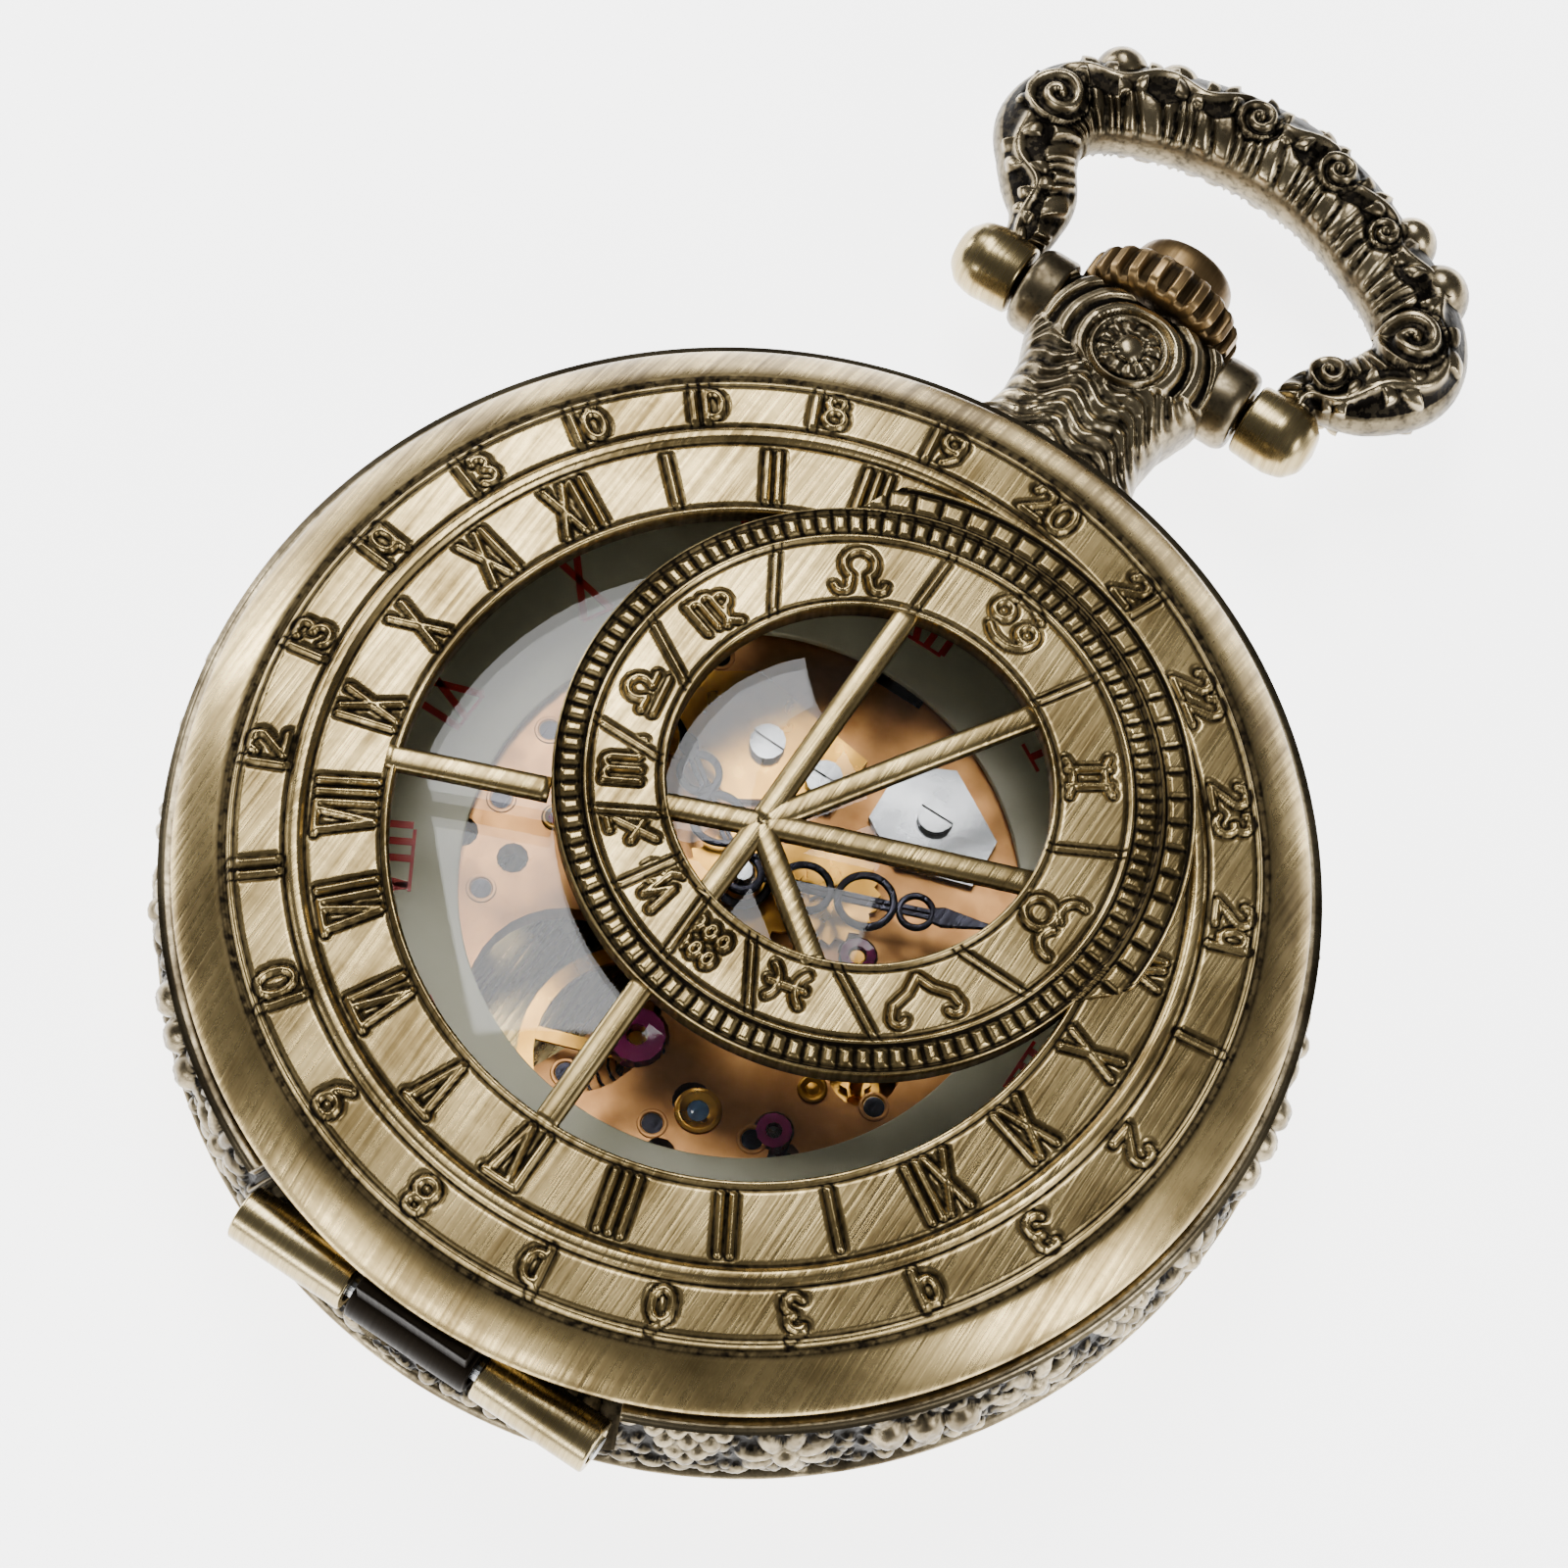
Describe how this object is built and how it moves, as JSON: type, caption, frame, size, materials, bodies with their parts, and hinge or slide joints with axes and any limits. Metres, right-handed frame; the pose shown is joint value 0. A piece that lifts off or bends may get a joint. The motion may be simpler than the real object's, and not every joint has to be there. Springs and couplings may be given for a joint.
{
  "type": "pocket watch",
  "caption": "Hunter pocket watch with a pierced zodiac cover on a hinge, cast case band, swinging ornate bow, winding crown and an open-centre dial over a geared mechanical movement",
  "frame": {"origin": "centre of the flat round rest face on the back cover, on the dial axis", "axes": "+X towards 3 o'clock, +Y towards the crown and bow at 12 o'clock, +Z out of the dial towards the viewer"},
  "size_m": [0.047, 0.0685, 0.0125],
  "materials": {
    "case_antique": "cast relief, silver highlights over a dark patina",
    "cover_brass": "linear brushed antique brass with dark grooves",
    "bright_brass": "bright brushed pale brass",
    "crown_brass": "brown worn brass",
    "crystal_glass": "clear polished domed glass",
    "dial_enamel": "cream satin lacquer",
    "blued_steel": "near-black blued steel",
    "copper_plate": "rose gilt brass",
    "gilt_brass": "polished gilt brass",
    "polished_steel": "polished steel",
    "ruby": "polished synthetic ruby"
  },
  "bodies": {
    "case": {"case_band": "case_antique", "back_cover": "cover_brass", "bezel": "cover_brass", "crystal": "crystal_glass", "case_knuckle_left": "bright_brass", "case_knuckle_right": "bright_brass", "hinge_pin": "polished_steel", "pendant": "case_antique", "bow_boss_left": "case_antique", "bow_boss_right": "case_antique", "stem_sleeve": "polished_steel", "dial": "dial_enamel", "main_plate": "copper_plate", "barrel_bridge": "copper_plate", "train_bridge": "copper_plate", "balance_cock": "copper_plate", "pallet_bridge": "copper_plate", "barrel_cap_plate": "gilt_brass", "setting_plate": "polished_steel", "jewel_balance": "ruby", "jewel_escape": "ruby", "jewel_third": "ruby", "jewel_fourth": "ruby", "plate_screw_1": "polished_steel", "plate_screw_2": "polished_steel", "plate_screw_3": "polished_steel", "bridge_screw_1": "polished_steel", "bridge_screw_2": "polished_steel", "bridge_screw_3": "polished_steel", "bridge_screw_4": "polished_steel"},
    "cover": {"front_cover": "cover_brass", "zodiac_ring": "cover_brass", "cover_knuckle": "bright_brass"},
    "catch": {"cover_catch": "polished_steel"},
    "bow_body": {"bow": "case_antique", "bow_knob_left": "bright_brass", "bow_knob_right": "bright_brass"},
    "third": {"third_wheel": "gilt_brass"},
    "centre": {"centre_wheel": "gilt_brass", "cannon_pinion": "polished_steel", "minute_hand": "blued_steel"},
    "fourth": {"fourth_wheel": "gilt_brass"},
    "escape": {"escape_wheel": "polished_steel"},
    "barrel": {"mainspring_barrel": "gilt_brass"},
    "minute_work": {"minute_wheel": "gilt_brass"},
    "hour_work": {"hour_wheel": "gilt_brass", "hour_hand": "blued_steel"},
    "pallet": {"pallet_fork": "polished_steel"},
    "balance": {"balance_wheel": "gilt_brass", "hairspring": "blued_steel"},
    "winding": {"winding_pinion": "polished_steel"},
    "crown_body": {"winding_stem": "polished_steel", "crown": "crown_brass"},
    "button": {"crown_button": "crown_brass"},
    "crown_wheel_body": {"crown_wheel": "polished_steel"},
    "ratchet": {"ratchet_wheel": "polished_steel"},
    "click": {"ratchet_click": "polished_steel"}
  },
  "joints": [
    {"name": "cover_hinge", "type": "hinge", "parent": "case", "child": "cover", "pos_m": [0, -0.0222, 0.0075], "axis": [1, 0, 0], "range_deg": [0, 100]},
    {"name": "bow_swing", "type": "hinge", "parent": "case", "child": "bow_body", "pos_m": [0, 0.031, 0.005], "axis": [1, 0, 0], "range_deg": [-110, 110]},
    {"name": "crown_turn", "type": "hinge", "parent": "case", "child": "winding", "pos_m": [0, 0.01375, 0.005], "axis": [0, 1, 0], "continuous": true},
    {"name": "crown_pull", "type": "slide", "parent": "winding", "child": "crown_body", "axis": [0, 1, 0], "range_m": [0, 0.001]},
    {"name": "button_push", "type": "slide", "parent": "crown_body", "child": "button", "axis": [0, -1, 0], "range_m": [0, 0.0006], "stiffness_N_per_m": 800},
    {"name": "catch_slide", "type": "slide", "parent": "case", "child": "catch", "axis": [0, -1, 0], "range_m": [0, 0.0006]},
    {"name": "crown_wheel_turn", "type": "hinge", "parent": "case", "child": "crown_wheel_body", "pos_m": [0, 0.012, 0.004], "axis": [0, 0, 1], "continuous": true},
    {"name": "ratchet_turn", "type": "hinge", "parent": "case", "child": "ratchet", "pos_m": [-0.0052, 0.0052, 0.004], "axis": [0, 0, 1], "continuous": true},
    {"name": "click_swing", "type": "hinge", "parent": "case", "child": "click", "pos_m": [-0.0109, 0.0062, 0.004], "axis": [0, 0, 1], "range_deg": [0, 10], "stiffness_Nm_per_rad": 0.000001},
    {"name": "third_turn", "type": "hinge", "parent": "case", "child": "third", "pos_m": [0.0054, 0.0004, 0.004], "axis": [0, 0, 1], "continuous": true},
    {"name": "centre_turn", "type": "hinge", "parent": "case", "child": "centre", "pos_m": [0, 0, 0.004], "axis": [0, 0, 1], "continuous": true},
    {"name": "fourth_turn", "type": "hinge", "parent": "case", "child": "fourth", "pos_m": [0.008, -0.0035, 0.004], "axis": [0, 0, 1], "continuous": true},
    {"name": "escape_turn", "type": "hinge", "parent": "case", "child": "escape", "pos_m": [0.0066, -0.0076, 0.004], "axis": [0, 0, 1], "continuous": true},
    {"name": "barrel_turn", "type": "hinge", "parent": "case", "child": "barrel", "pos_m": [-0.0052, 0.0052, 0.004], "axis": [0, 0, 1], "continuous": true},
    {"name": "minute_wheel_turn", "type": "hinge", "parent": "case", "child": "minute_work", "pos_m": [0.00262, 0.00184, 0.004], "axis": [0, 0, 1], "continuous": true},
    {"name": "hour_turn", "type": "hinge", "parent": "case", "child": "hour_work", "pos_m": [0, 0, 0.004], "axis": [0, 0, 1], "continuous": true},
    {"name": "pallet_rock", "type": "hinge", "parent": "case", "child": "pallet", "pos_m": [0.0033, -0.0084, 0.004], "axis": [0, 0, 1], "range_deg": [-5, 5]},
    {"name": "balance_swing", "type": "hinge", "parent": "case", "child": "balance", "pos_m": [0, -0.0074, 0.004], "axis": [0, 0, 1], "range_deg": [-135, 135], "stiffness_Nm_per_rad": 0.0000005}
  ],
  "couplings": [
    {"joint": "centre_turn", "follows": "third_turn", "ratio": -0.125},
    {"joint": "fourth_turn", "follows": "third_turn", "ratio": -7.5},
    {"joint": "escape_turn", "follows": "third_turn", "ratio": 75},
    {"joint": "barrel_turn", "follows": "third_turn", "ratio": 0.020833},
    {"joint": "minute_wheel_turn", "follows": "third_turn", "ratio": 0.041667},
    {"joint": "hour_turn", "follows": "third_turn", "ratio": -0.010417},
    {"joint": "crown_wheel_turn", "follows": "crown_turn", "ratio": 0.5},
    {"joint": "ratchet_turn", "follows": "crown_turn", "ratio": -0.39474},
    {"joint": "catch_slide", "follows": "button_push", "ratio": 1}
  ]
}
